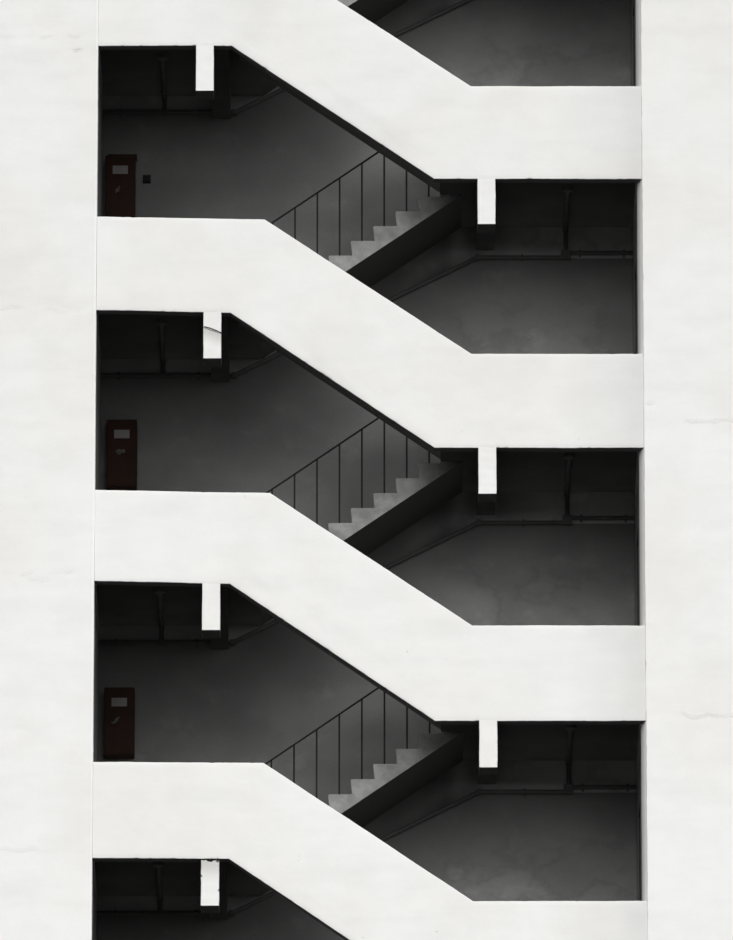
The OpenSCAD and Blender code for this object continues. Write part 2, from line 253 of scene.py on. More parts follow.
def white_paint(name, lifts=(), stains_and_shade=(), edge_shading=(), slope=None, sides=0.0):
    """White paint with ledges, stains and painted shade under lines, and painted light and shade near
    edges.

    A lift is (z, from x, to x, strength), a stain is (x, z, slope, reach, strength), and an edge is
    (from x, to x, tone), where a tone above one is painted light and a tone below one is painted shade.
    A slope is (from x, from z, to x, to z) of a band's lower edge. The last value says how much painted
    shade the side faces get."""
    coat = Finish(name, roughness=0.88, specular=0.25)
    clouds = coat.noise(0.7, 4.0, (1, 1, 0.8))
    colour = coat.mix(coat.ramp(clouds, 0.35, 0.7), WHITE, WARM_WHITE)
    # A little lighter near the ground and a little darker higher up.
    colour = coat.tone(colour, coat.z, 4.0, 14.5, 1.045, 0.975)
    patches = coat.noise(2.6, 5.0, (1, 1, 1.6), (7, 3, 1))
    colour = coat.tone(colour, patches, 0.3, 0.7, 0.98, 1.015)
    smears = coat.noise(1.8, 4.0, (0.5, 1, 2.6), (2, 5, 8))
    colour = coat.tone(colour, smears, 0.45, 0.75, 1.0, 0.972)
    grain = coat.noise(60.0, 3.0, roughness=0.7)
    colour = coat.tone(colour, grain, 0.2, 0.8, 0.985, 1.015)
    pits = coat.ramp(coat.noise(10.0, 2.0, (1, 1, 2), (5, 1, 3)), 0.76, 0.80)
    colour = coat.mix(coat.times(pits, 0.5), colour, DUST)
    wander = coat.ramp(coat.noise(5.0, 3.0, shift=(4, 9, 2)), 0.2, 0.8, -0.03, 0.03)
    for lift, from_x, to_x, strength in lifts:
        away = coat.minus(coat.plus(coat.z, wander), lift)
        here = coat.times(coat.ramp(coat.x, from_x - 0.04, from_x + 0.04),
                          coat.ramp(coat.x, to_x - 0.04, to_x + 0.04, 1.0, 0.0))
        line = coat.times(coat.stripe(away, 0.0, 0.018), here)
        colour = coat.mix(coat.times(line, strength), colour, DUST)
        coat.bump(coat.times(coat.stripe(away, 0.012, 0.03), here), -0.008 * strength)
    if slope:
        from_x, from_z, to_x, to_z = slope
        edge = coat.ramp(coat.x, from_x, to_x, from_z, to_z, "LINEAR")
        rise = coat.remainder(coat.minus(coat.z, edge), storey_h)
        along = coat.node("ShaderNodeCombineXYZ", (0, coat.x), (1, coat.z), (2, rise)).outputs[0]
        streaks = coat.noise(1.3, 3.0, (0.8, 0.3, 1.9), (3, 0, 0), place=along)
        near_edge = coat.times(coat.stripe(rise, 0.16, 0.34), coat.ramp(coat.x, from_x - 0.1, from_x + 0.3))
        near_edge = coat.times(near_edge, coat.ramp(coat.x, to_x - 0.3, to_x + 0.1, 1.0, 0.0))
        streak = coat.times(coat.ramp(streaks, 0.38, 0.66), near_edge)
        colour = coat.shade(colour, coat.minus(1.0, coat.times(streak, 0.06)))
    # Under each line: a grey fade that is partly stain and partly painted shade, and a thin dark line of
    # painted shadow.
    for x, z, slope, reach, strength in stains_and_shade:
        line = coat.plus(coat.times(coat.minus(coat.x, x), slope), z)
        drop = coat.minus(line, coat.z)
        stain_and_shade = coat.times(coat.ramp(drop, 0.0, reach, 1.0, 0.0), coat.math("GREATER_THAN", drop, 0.0))
        colour = coat.mix(coat.times(stain_and_shade, strength), colour, DUST)
        colour = coat.mix(coat.stripe(drop, 0.004, 0.012), colour, PAINTED_SHADE)
    # Each edge stretch gets painted light where its tone is above one and painted shade where it is below
    # one.
    for from_x, to_x, tone in edge_shading:
        colour = coat.tone(colour, coat.x, from_x, to_x, 1.0, tone)
    # Painted shade: the stubs' side faces are painted darker, and their undersides darker still.
    if sides:
        sideways = coat.math("ABSOLUTE", coat.aside)
        colour = coat.mix(coat.ramp(sideways, 0.8, 1.0, 0.0, sides), colour, PAINTED_SHADE)
        colour = coat.tone(colour, coat.up, -0.4, -0.85, 1.0, 0.55)
    colour = coat.mix(coat.ramp(coat.up, 0.5, 0.95, 0.0, 0.45), colour, DUST)
    # Painted shade: what faces down is painted nearly black.
    colour = coat.mix(coat.ramp(coat.up, -0.4, -0.85), colour, PIER_PAINTED_SHADE if sides else PAINTED_SHADE)
    coat.bump(coat.noise(9.0, 4.0, roughness=0.6), 0.004, 0.5)
    coat.bump(grain, 0.0012, 0.6)
    return coat.finish(colour)


LEFT_LIFTS = [(half_z[k] - drop, from_x, to_x, strength) for k, drop, from_x, to_x, strength in (
    (5, 0.325, -4.20, -3.95, 0.15), (5, 0.355, -3.65, -3.52, 0.2), (5, 0.325, -3.34, -3.22, 0.2),
    (5, 0.480, -3.27, -3.19, 0.7), (4, 0.375, -4.20, -3.85, 0.2), (4, 0.408, -3.57, -3.18, 0.2),
    (3, 0.327, -3.82, -3.68, 0.2), (3, 0.385, -3.74, -3.49, 0.2), (3, 0.305, -3.31, -3.24, 0.2),
    (2, 0.350, -4.10, -3.60, 0.2), (1, 0.350, -3.90, -3.30, 0.2))]
RIGHT_LIFTS = [(floor_z[k] - drop, from_x, to_x, strength) for k, drop, from_x, to_x, strength in (
    (3, -0.075, 3.07, 3.18, 0.25), (3, 0.125, 3.50, 4.20, 0.35), (2, 0.385, 3.43, 4.20, 0.35),
    (1, 0.200, 3.30, 3.90, 0.2), (5, 0.200, 3.50, 4.20, 0.2))]
# The bands are painted darker towards the right wall: painted shade.
band_paint = white_paint(
    "band_paint", edge_shading=[(right_x - 1.1, right_x, 0.91), (right_x - 0.3, right_x, 0.94)],
    slope=(left_x + 1.49, half_z[1] - band_below, left_x + 3.743, floor_z[0] - band_below))
# The left wing's inner edge is painted lighter: a painted highlight on its arris.
left_wing_paint = white_paint("left_wing_paint", LEFT_LIFTS, edge_shading=[(left_x - 0.028, left_x - 0.012, 1.08)])
# The right wing is painted darker across its splayed inner edge: painted shade on the reveal.
right_wing_paint = white_paint("right_wing_paint", RIGHT_LIFTS, edge_shading=[(right_x + 0.045, right_x, 0.6)])
stub_x, crack_z = left_x + 1.185, half_z[4] - band_below - 0.165
# Under the crack of one stub and the broken top of another: stain, painted shade and a painted shadow line.
pier_paint = white_paint("pier_paint", sides=0.85, stains_and_shade=[
    (stub_x, crack_z, -0.36, 0.20, 0.6), (stub_x, half_z[2] - band_below, 0.0, 0.30, 0.6)])

# %% [markdown]
# ## Grey paint inside the stair
# The inner walls were painted grey long ago. Their colour carries painted shade: lighter low down,
# darker higher up and darkest above the conduit that follows the stair, though painted lighter close
# under the head of a flight against the shade there. Two lines along the stair give these heights:
# one through the conduit, one through the landings and flights. How far a point lies below the first
# and above the second comes from a remainder by the storey height.
# The corner at the left wall is painted darker from top to bottom as shade, painted light and shade
# also change along the wall, and rain that blew in has left tide marks low down.
# The same walls are white outside, with a ledge at every storey, so one finish asks where a point is
# and picks the coat. In the right wall, the inner face is painted darker as shade, and the cheeks of
# the doorways are painted as dark as the doors, as painted shade.

# %% Grey paint
GREY = (0.19, 0.19, 0.188)
PALE = (0.25, 0.249, 0.245)
DOORWAY_SHADE = (0.03, 0.029, 0.028)
CONDUIT_LINE = ((1.5, -0.355), (4.245, -0.522))
FLIGHT_LINE = ((1.815, -0.075), (4.065, -0.075))


def grey_paint(name):
    """Grey wall paint inside the stair and white paint on the walls' outer sides."""
    coat = Finish(name, roughness=0.85, specular=0.3)
    clouds = coat.noise(0.9, 5.0, (1, 1, 1.4), (3, 1, 2))
    colour = coat.mix(coat.ramp(clouds, 0.35, 0.7), GREY, PALE)
    blots = coat.noise(2.2, 6.0, (1, 1, 1.2), (9, 2, 4), 0.6)
    colour = coat.tone(colour, blots, 0.55, 0.75, 1.0, 1.22)
    grain = coat.noise(45.0, 4.0, roughness=0.7)
    colour = coat.tone(colour, grain, 0.2, 0.8, 0.95, 1.05)

    def storey_line(line):
        """Height of a line over the lowest landings, as a value that changes with x."""
        (start_x, start_z), (end_x, end_z) = line
        return coat.ramp(coat.x, left_x + start_x, left_x + end_x,
                         half_z[1] + start_z, floor_z[1] + end_z, "LINEAR")

    below = coat.remainder(coat.minus(storey_line(CONDUIT_LINE), coat.z), storey_h)
    above = coat.remainder(coat.minus(coat.z, storey_line(FLIGHT_LINE)), storey_h)
    under_slab = coat.math("GREATER_THAN", coat.plus(below, above), 1.4 * storey_h)

    def across(start, end, from_value, to_value):
        """A factor that changes between two places along x."""
        return coat.ramp(coat.x, left_x + start, left_x + end, from_value, to_value)

    # Above the conduit: painted shade and light that change along x, with painted light close under the
    # head of a flight against the shade there.
    dim = coat.times(across(1.2, 1.7, 1.3, 0.9), across(1.8, 3.2, 1.0, 0.66))
    dim = coat.times(dim, across(3.9, 5.2, 1.0, 2.0))
    near_flight = coat.times(coat.ramp(above, storey_h - 0.5, storey_h - 0.26), across(3.3, 3.9, 0.1, 1.4))
    near_flight = coat.times(near_flight, across(3.95, 4.2, 1.0, 0.15))
    dim = coat.times(dim, coat.plus(1.0, near_flight))
    # Below the conduit: painted shade, darkest just under it and lighter further down.
    height_shade = coat.ramp(below, -0.1, 1.9, 0.45, 1.0)
    # Near the left wall a darker level replaces the height gradient: painted shade in the corner.
    corner = coat.ramp(coat.x, left_x + 0.4, left_x + 2.0, 1.0, 0.0)
    height_shade = coat.between(corner, height_shade, 0.58)
    colour = coat.shade(colour, coat.between(under_slab, height_shade, dim))
    # Painted light and shade along x: one ramp for the wall far below the conduit left of the rear flight's
    # head, another elsewhere.
    open_side = coat.times(across(2.2, 3.6, 1.05, 1.34), across(4.4, 5.2, 1.0, 0.93))
    stair_side = coat.times(across(2.0, 3.1, 1.05, 0.76), across(3.4, 3.75, 1.0, 0.72))
    on_stair = coat.times(coat.ramp(below, 1.3, 1.9), across(3.85, 4.1, 1.0, 0.0))
    colour = coat.shade(colour, coat.between(on_stair, open_side, stair_side))
    damp = coat.noise(1.2, 5.0, (1, 1, 1.4), (5, 7, 3), 0.55)
    low_down = coat.times(coat.ramp(below, 0.3, 0.75), coat.minus(1.0, on_stair))
    low_down = coat.times(low_down, across(3.2, 4.0, 0.0, 1.0))
    tide = coat.times(coat.stripe(damp, 0.50, 0.05), low_down)
    colour = coat.shade(colour, coat.minus(1.0, coat.times(tide, 0.10)))
    dried = coat.times(coat.ramp(damp, 0.50, 0.60), low_down)
    colour = coat.shade(colour, coat.plus(1.0, coat.times(dried, 0.10)))
    # Painted shade: the right wall's inner face and the corner beside it are painted darker.
    colour = coat.tone(colour, coat.x, right_x - 0.02, right_x - 0.005, 1.0, 0.75)
    # Painted shade: the doorways' cheeks are painted as dark as the doors.
    colour = coat.mix(coat.ramp(coat.x, right_x + 0.001, right_x + 0.004), colour, DOORWAY_SHADE)
    past_side = coat.minus(coat.math("ABSOLUTE", coat.x), right_x + 0.1)
    beyond = coat.math("MAXIMUM", past_side, coat.minus(coat.y, rear_y + 0.1))
    outer = coat.mix(coat.ramp(blots, 0.35, 0.7), WHITE, WARM_WHITE)
    outer = coat.tone(outer, clouds, 0.3, 0.75, 1.0, 0.93)
    lift = coat.stripe(coat.remainder(coat.minus(coat.z, floor_z[0] - 0.5), storey_h), 0.5, 0.02)
    outer = coat.mix(coat.times(lift, coat.ramp(blots, 0.4, 0.6, 0.1, 0.5)), outer, DUST)
    colour = coat.mix(coat.math("GREATER_THAN", beyond, 0.0), colour, outer)
    coat.bump(coat.noise(8.0, 4.0, roughness=0.6), 0.004, 0.5)
    coat.bump(grain, 0.001, 0.6)
    return coat.finish(colour)


wall_paint = grey_paint("wall_paint")

# %% [markdown]
# ## Bare concrete and steps
# The landings' undersides were painted once. They are pale deep inside and painted darker towards
# the open front as painted shade, with painted light against the rear wall and more painted shade
# on the beams' undersides. The steps were painted pale too. Their treads are scuffed, painted shade
# darkens the strings near the head of a flight, and their undersides are painted dark as shade.

# %% Concrete
STEP_UNDERSIDE_SHADE = (0.09, 0.09, 0.088)
SOFFIT = (0.19, 0.19, 0.186)
SOFFIT_FRONT_SHADE = (0.027, 0.027, 0.026)
STEP = (0.395, 0.395, 0.385)
SCUFF = (0.30, 0.29, 0.27)


def bare_concrete(name):
    coat = Finish(name, roughness=0.9, specular=0.25)
    clouds = coat.noise(1.4, 5.0)
    # Painted shade darkens the soffits towards the open front and painted light lifts them against the rear
    # wall; the colour is also a little darker towards the left.
    inside = coat.ramp(coat.y, band_back_y + 0.5, rear_y + 0.4)
    colour = coat.mix(inside, SOFFIT_FRONT_SHADE, SOFFIT)
    colour = coat.tone(colour, coat.y, rear_y - 0.4, rear_y, 1.0, 1.35)
    colour = coat.tone(colour, coat.x, left_x + 1.5, left_x + 3.5, 0.85, 1.0)
    colour = coat.tone(colour, clouds, 0.3, 0.7, 0.85, 1.15)
    # Painted shade on the beams below the landings, darker further down.
    below = coat.remainder(coat.minus(half_z[1], coat.z), storey_h / 2)
    colour = coat.tone(colour, below, slab_t + 0.02, band_below - 0.02, 1.0, 0.45)
    colour = coat.mix(coat.ramp(coat.up, 0.6, 0.95), colour, SCUFF)
    grain = coat.noise(50.0, 4.0, roughness=0.7)
    colour = coat.tone(colour, grain, 0.2, 0.8, 0.92, 1.08)
    coat.bump(grain, 0.001, 0.6)
    return coat.finish(colour)


def step_paint(name):
    coat = Finish(name, roughness=0.8, specular=0.25)
    clouds = coat.noise(3.0, 5.0)
    colour = coat.mix(coat.ramp(clouds, 0.4, 0.75), STEP, PALE)
    patches = coat.noise(7.0, 5.0, (1, 1, 1), (3, 8, 1), 0.6)
    colour = coat.tone(colour, patches, 0.35, 0.7, 0.86, 1.14)
    colour = coat.mix(coat.ramp(coat.up, 0.6, 0.95, 0.0, 0.6), colour, SCUFF)
    # Painted light and shade along x: the steps are a little lighter from 2.7 m to 3.3 m and much darker
    # beyond, towards the rear flight's head.
    colour = coat.tone(colour, coat.x, left_x + 2.7, left_x + 3.3, 0.95, 1.12)
    colour = coat.tone(colour, coat.x, left_x + 3.32, left_x + 4.1, 1.0, 0.13)
    # Painted shade: what faces down on the steps is painted dark.
    colour = coat.mix(coat.ramp(coat.up, -0.4, -0.7, 0.0, 1.0), colour, STEP_UNDERSIDE_SHADE)
    grain = coat.noise(50.0, 4.0, roughness=0.7)
    colour = coat.tone(colour, grain, 0.2, 0.8, 0.95, 1.05)
    coat.bump(grain, 0.001, 0.6)
    return coat.finish(colour)


landing_concrete = bare_concrete("landing_concrete")
step_finish = step_paint("step_finish")

# %% [markdown]
# ## Painted steel
# Rails, doors, cabinets and conduits are steel under a dull paint that has gone chalky.

# %% Steel paints
def steel_paint(name, colour, worn, roughness=0.5, specular=0.4, below=None):
    """Dull paint on steel. What faces down may have a lighter colour, as painted light."""
    coat = Finish(name, roughness=roughness, specular=specular)
    clouds = coat.noise(6.0, 4.0)
    colour = coat.mix(coat.ramp(clouds, 0.45, 0.8), colour, worn)
    # Painted light: what faces down gets a lighter colour.
    if below:
        colour = coat.mix(coat.ramp(coat.up, -0.5, -0.9), colour, below)
    grain = coat.noise(150.0, 2.0)
    colour = coat.tone(colour, grain, 0.2, 0.8, 0.93, 1.07)
    coat.bump(grain, 0.0004, 0.5)
    return coat.finish(colour, coat.ramp(clouds, 0.3, 0.7, roughness - 0.08, roughness + 0.12))


rail_paint = steel_paint("rail_paint", (0.018, 0.018, 0.018), (0.04, 0.036, 0.032), 0.6, 0.2)
door_paint = steel_paint("door_paint", (0.05, 0.045, 0.04), (0.08, 0.07, 0.06), 0.6, 0.25)
# The cabinets' undersides are painted lighter: painted light.
cabinet_paint = steel_paint("cabinet_paint", (0.030, 0.0156, 0.0118), (0.022, 0.0172, 0.0128),
                            0.75, 0.06, below=(0.085, 0.06, 0.05))
plate_enamel = steel_paint("plate_enamel", (0.18, 0.172, 0.162), (0.14, 0.133, 0.126), 0.6, 0.25)
lever_steel = steel_paint("lever_steel", (0.07, 0.066, 0.062), (0.10, 0.095, 0.09), 0.5, 0.3)
# The conduits' undersides are painted lighter: painted light.
conduit_paint = steel_paint("conduit_paint", (0.082, 0.082, 0.081), (0.11, 0.11, 0.105),
                            0.75, 0.2, below=(0.098, 0.098, 0.096))
call_paint = steel_paint("call_paint", (0.012, 0.012, 0.012), (0.02, 0.02, 0.02), 0.7, 0.1)

# %% [markdown]
# The pieces that keep their shape from the frame now get their finish.

# %% Finishes on the frame's pieces
FINISHES = {
    "left_wall": wall_paint, "right_wall": wall_paint, "rear_wall": wall_paint,
    "ground_slab": landing_concrete, "floor_landing": landing_concrete, "half_landing": landing_concrete,
    "front_flight": step_finish, "rear_flight": step_finish, "front_band": band_paint,
    "top_parapet": band_paint, "left_stubs": pier_paint, "right_stubs": pier_paint, "roof": band_paint,
    "left_wing": left_wing_paint, "right_wing": right_wing_paint, "well_rail": rail_paint,
    "fire_doors": door_paint, "wall_cabinets": cabinet_paint, "cabinet_plates": plate_enamel,
    "conduits": conduit_paint,
}


def paint(piece, finish):
    piece.data.materials.clear()
    piece.data.materials.append(finish)


for name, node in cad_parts.items():
    kind = name.rstrip("12345").rstrip("_")
    paint(node, FINISHES[kind])
print("painted", len(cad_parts), "pieces of the frame")

# %% [markdown]
# ## Skins from rings
# A wall, a step or a stub that a mason has finished isn't a plain box: its edges are rounded by the
# float, they waver by a few millimetres, and bits have broken off. Such a form is easy to give as
# rings of points along a path. The helper below joins the rings, closes both ends and turns every
# face outwards, which it checks with the enclosed volume.

# %% Rings to a closed skin
def enclosed_volume(points, faces):
    """Sum over all triangles of the box product of their corners, over six. Outward faces give plus."""
    total = 0.0
    for corners in faces:
        fan = points[corners]
        a, b, c = fan[:, :1], fan[:, 1:-1], fan[:, 2:]
        total += float((np.broadcast_to(a, b.shape) * np.cross(b, c)).sum()) / 6
    return total


def skin(rings):
    """Points and faces of a closed skin over rings of shape (rings, points in a ring, 3).

    Neighbouring rings are joined by four-sided faces, and the first and last ring close the ends.
    Faces come as arrays of corner numbers, one array for each number of corners."""
    rows, around = rings.shape[:2]
    index = np.arange(rows * around).reshape(rows, around)
    beside = np.roll(index, -1, axis=1)
    sides = np.stack([index[:-1], beside[:-1], beside[1:], index[1:]], axis=-1).reshape(-1, 4)
    faces = [sides, np.stack([index[0, ::-1], index[-1]])]
    points = rings.reshape(-1, 3)
    if enclosed_volume(points, faces) < 0:
        faces = [corners[:, ::-1] for corners in faces]
    return points, faces


def joined(skins):
    """Puts several skins into one, moving their corner numbers on."""
    points, faces, count = [], [], 0
    for part_points, part_faces in skins:
        points.append(part_points)
        faces += [corners + count for corners in part_faces]
        count += len(part_points)
    return np.concatenate(points), faces


piece_triangles = {}


def add_piece(name, made, finish, stands_for=(), crease=35):
    """Makes an object of a skin, gives it its finish and lets it ride on the building."""
    points, faces = made
    mesh = bpy.data.meshes.new(name)
    mesh.vertices.add(len(points))
    mesh.vertices.foreach_set("co", np.ascontiguousarray(points, np.float32).ravel())
    sizes = np.concatenate([np.full(len(corners), corners.shape[1]) for corners in faces])
    mesh.loops.add(int(sizes.sum()))
    mesh.loops.foreach_set("vertex_index", np.concatenate([c.ravel() for c in faces]).astype(np.int32))
    mesh.polygons.add(len(sizes))
    mesh.polygons.foreach_set("loop_start", (np.cumsum(sizes) - sizes).astype(np.int32))
    mesh.update(calc_edges=True)
    mesh.shade_smooth()
    mesh.set_sharp_from_angle(angle=math.radians(crease))
    mesh.materials.append(finish)
    piece = bpy.data.objects.new(name, mesh)
    bpy.context.scene.collection.objects.link(piece)
    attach(piece, "root")
    if stands_for:
        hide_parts(*stands_for)
    piece_triangles[name] = int((sizes - 2).sum())
    return piece


# %% [markdown]
# Hand work needs a little disorder that comes out the same on every run. Along an edge, random
# heights are joined by smooth curves. Over a face, a few sine waves of random headings are added up.

# %% Two kinds of unevenness
def waver(places, step, seed):
    """Random heights between -1 and 1 every step, with 3t^2 - 2t^3 as the way between neighbours."""
    steps = (np.asarray(places, float) - np.min(places)) / step
    heights = np.random.default_rng(seed).uniform(-1, 1, int(steps.max()) + 3)
    before = steps.astype(int)
    t = steps - before
    t = 3 * t**2 - 2 * t**3
    return heights[before] * (1 - t) + heights[before + 1] * t


def ripple(a, b, wavelength, seed, waves=8):
    """Sum of sine waves over the plane of a and b, mostly between -1 and 1."""
    rng = np.random.default_rng(seed)
    heading, phase = rng.uniform(0, 2 * np.pi, (2, waves))
    rate = 2 * np.pi / (wavelength * rng.uniform(0.6, 1.6, waves))
    along = a[..., None] * np.cos(heading) + b[..., None] * np.sin(heading)
    return np.sin(rate * along + phase).sum(-1) / math.sqrt(waves)


def chips(places, seed, count, deepest, widest=0.03):
    """Extra edge radius where bits are gone: rounded dips of random place, width and depth."""
    rng = np.random.default_rng(seed)
    middle = rng.uniform(np.min(places), np.max(places), count)
    width = rng.uniform(0.3, 1.0, count) * widest
    depth = deepest * rng.uniform(0.2, 1.0, count) ** 2
    away = (np.asarray(places)[:, None] - middle) / width
    return (depth * np.exp(-away**2)).max(axis=1)


def stations(start, end, step, *kept):
    """Even places from start to end, with the kept places among them."""
    even = np.linspace(start, end, int(round((end - start) / step)) + 1)
    return np.unique(np.concatenate([even, [k for k in kept if start < k < end]]))


# %% [markdown]
# ## Slabs with worn edges
# Parapet bands, front walls and stubs are all slabs with four long edges. A path runs along the
# slab, and at each station a section has a low edge, a high edge, a near face and a far face. The
# edges' radius may change along the path: where a chip is gone, the radius swells.

# %% A slab along a path
ARC = np.linspace(0, np.pi / 2, 4)


def worn_slab(path, low, high, near, far, low_radius, high_radius, cuts):
    """Rings of a slab with rounded edges, as columns for the path, the height and the depth.

    A corner point stands 1 - sin(t) radii from the edge's height and 1 - cos(t) radii from the
    face, for t from 0 to a right angle. The near face is cut into many steps, to carry unevenness."""
    inner = np.linspace(0, 1, cuts + 1)[1:-1]
    off_edge, off_face = 1 - np.sin(ARC), 1 - np.cos(ARC)
    one, zero = np.ones(4), np.zeros(4)
    share = np.concatenate([inner, one, one, zero, zero])
    edge = np.concatenate([0 * inner + 1, off_edge, off_edge[::-1], off_edge, off_edge[::-1]])
    face = np.concatenate([0 * inner, off_face, off_face[::-1], off_face, off_face[::-1]])
    is_near = np.concatenate([0 * inner + 1, one, zero, zero, one])
    path, low, high, low_radius, high_radius = (
        np.broadcast_to(v, np.shape(path))[:, None] for v in (path, low, high, low_radius, high_radius)
    )
    radius = (1 - share) * low_radius + share * high_radius
    height = (1 - share) * (low + edge * low_radius) + share * (high - edge * high_radius)
    depth = np.where(is_near > 0, near + face * radius, far - face * radius)
    return path + 0 * height, height, depth


# %% [markdown]
# ## Parapet bands
# The white bands are what the eye sees first: level over the half landing, down along the flight and
# level over the floor landing. Each was cast by itself, so no two upper edges are quite alike. Their
# levels are read from the frame, and the bends are the frame's own driving sizes. Here the edges
# get their wavering line, a rounded arris and its chips.

# %% Bands
ARRIS = 0.009
UPPER_BEND, UPPER_END = 1.862, 4.152
LOWER_BEND, LOWER_END = 1.490, 3.743
CAST_LOW = {3: 0.045}
CAST_HIGH = {2: 0.010, 3: 0.035, 4: 0.035}
STATION = 0.015
BAND_LAP = 0.05


def edge_line(x, *bends):
    """Straight stretches between the bends, which are pairs of a place and a level."""
    places, levels = zip(*bends)
    return np.interp(x, places, levels)


def band(k):
    """Front band k from its two edge lines, with the frame's casting errors."""
    low_cast, high_cast = CAST_LOW.get(k, 0.0), CAST_HIGH.get(k, 0.0)
    upper_z, lower_z = half_z[k] + band_above - low_cast, half_z[k] - band_below
    right_high, right_low = floor_z[k - 1] + band_above, floor_z[k - 1] - band_below
    upper_bend = UPPER_BEND + low_cast * (UPPER_END - UPPER_BEND) / (half_z[k] - floor_z[k - 1])
    last = right_x - left_x + BAND_LAP if k > 1 else UPPER_END
    x = stations(0.0, last, STATION, upper_bend, UPPER_END, LOWER_BEND, LOWER_END)
    top = edge_line(x, (0, upper_z + high_cast), (upper_bend, upper_z),
                    (UPPER_END, right_high), (last, right_high))
    bottom = edge_line(x, (0, lower_z + high_cast), (LOWER_BEND, lower_z),
                       (LOWER_END, right_low), (last, right_low))
    bottom = np.maximum(bottom, 0.0)
    top = top + 0.0022 * waver(x, 0.35, 10 + k) + 0.0008 * waver(x, 0.06, 20 + k)
    sag = 0.0022 * waver(x, 0.4, 30 + k) + 0.0009 * waver(x, 0.07, 40 + k)
    bottom = bottom + np.where(bottom > 0, sag, 0)
    high_radius = ARRIS * (1 + 0.25 * waver(x, 0.05, 50 + k)) + chips(x, 60 + k, 14, 0.012)
    low_radius = ARRIS * (1 + 0.25 * waver(x, 0.05, 70 + k)) + chips(x, 80 + k, 22, 0.020)
    x, z, y = worn_slab(x + left_x, bottom, top, band_y, band_back_y, low_radius, high_radius, 22)
    front = np.clip((band_back_y - y) / (band_back_y - band_y), 0, 1)
    y = y + front * (0.0010 * ripple(x, z, 0.9, 90 + k) + 0.0004 * ripple(x, z, 0.25, 95 + k))
    return skin(np.stack([x, y, z], axis=-1))


for k in STOREYS:
    add_piece(f"parapet_band_{k}", band(k), band_paint, [f"front_band_{k}"])
print("a band has", piece_triangles["parapet_band_3"], "triangles")

# %% [markdown]
# The highest landing has a level parapet across the front and a return along its open edge, with the
# same arris. They are two slabs in one piece.

# %% Top parapet
PARAPET_LAP = 0.02


def level_parapet():
    low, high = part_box("top_parapet")
    x = stations(low.x, high.x + BAND_LAP, STATION)
    edge = high.z + 0.002 * waver(x, 0.35, 401)
    bottom = low.z + 0.002 * waver(x, 0.4, 402)
    x, z, y = worn_slab(x, bottom, edge, band_y, band_back_y, ARRIS, ARRIS, 16)
    front = skin(np.stack([x, y, z], axis=-1))
    y = stations(band_back_y - PARAPET_LAP, high.y, STATION)
    edge = high.z + 0.002 * waver(y, 0.35, 403) - 0.002
    y, z, x = worn_slab(y, floor_z[5], edge, low.x, low.x + band_back_y - band_y, ARRIS, ARRIS, 10)
    return joined([front, skin(np.stack([x, y, z], axis=-1))])


add_piece("parapet_top", level_parapet(), band_paint, ["top_parapet"])

# %% [markdown]
# ## Front walls
# On each side of the opening the white wall runs from the ground to the roof. It was cast in lifts,
# and every lift leaves a level line with a small step in it. The section here lies flat, and the
# path goes up. The right wall's inner edge is splayed from floor to roof, and the bands lap into it.

# %% Front walls
LIFT_STEP = 0.002
SPLAY_DEPTH, SPLAY_CUTS = 0.17, 24


def front_wall(node, lifts, seed, splay):
    low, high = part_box(node)
    lifts = sorted({lift[0] for lift in lifts})
    z = stations(low.z, high.z, 0.04, *[lift + d for lift in lifts for d in (-0.02, 0.0, 0.02)])
    radius = ARRIS * (0.8 + 0.3 * waver(z, 0.06, seed)) + chips(z, seed + 1, 30, 0.010)
    near_x = low.x + 0.001 * (waver(z, 0.5, seed + 2) + 1)
    far_x = high.x - 0.001 * (waver(z, 0.5, seed + 3) + 1)
    z, x, y = worn_slab(z, near_x, far_x, low.y + 0.002, high.y, radius, radius, SPLAY_CUTS)
    front = np.clip((high.y - y) / (high.y - low.y), 0, 1)
    step = sum(np.exp(-(((z - lift) / 0.03) ** 2)) for lift in lifts)
    y = y + front * (0.0012 * ripple(x, z, 1.4, seed + 4) + 0.0004 * ripple(x, z, 0.3, seed + 5))
    y = y + front * LIFT_STEP * step * np.clip(ripple(x, z * 0.2, 0.5, seed + 6), 0, 1)
    if splay:
        open_height = np.clip((z - floor_z[0]) / 0.04, 0, 1) * np.clip((roof_low - z) / 0.04, 0, 1)
        splayed = np.clip(1 - (x - low.x) * SPLAY_CUTS / (high.x - low.x), 0, 1)
        y = y + front * SPLAY_DEPTH * open_height * splayed
    return skin(np.stack([x, np.maximum(y, low.y), z], axis=-1))


roof_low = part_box("roof")[0].z
print(f"the opening ends {roof_low:.3f} m above the ground")
add_piece("left_front_wall", front_wall("left_wing", LEFT_LIFTS, 200, False), left_wing_paint,
          ["left_wing"])
add_piece("right_front_wall", front_wall("right_wing", RIGHT_LIFTS, 300, True), right_wing_paint,
          ["right_wing"])

# %% [markdown]
# ## Stubs
# A short pier hangs below each band at the end of the beam behind it. Water runs down the bands and
# off these stubs, so they suffer most: one has a crack right across it, and another has lost a piece
# where it joins the band. A crack is a narrow dip in the depth along a line, and a cavity is a wide
# one round a point.

# %% Stubs
STUB_ARRIS = 0.008
STUB_LAP = 0.012
CRACKS = {("left", 4): (0.165, 0.237)}
CAVITIES = {("left", 2): (
    (0.15, 0.006, 0.030, 0.008, 0.02), (0.50, 0.012, 0.035, 0.016, 0.05),
    (0.68, 0.006, 0.030, 0.008, 0.03), (0.92, 0.020, 0.018, 0.024, 0.04),
    (0.02, 0.200, 0.010, 0.015, 0.02), (0.98, 0.360, 0.010, 0.012, 0.02))}


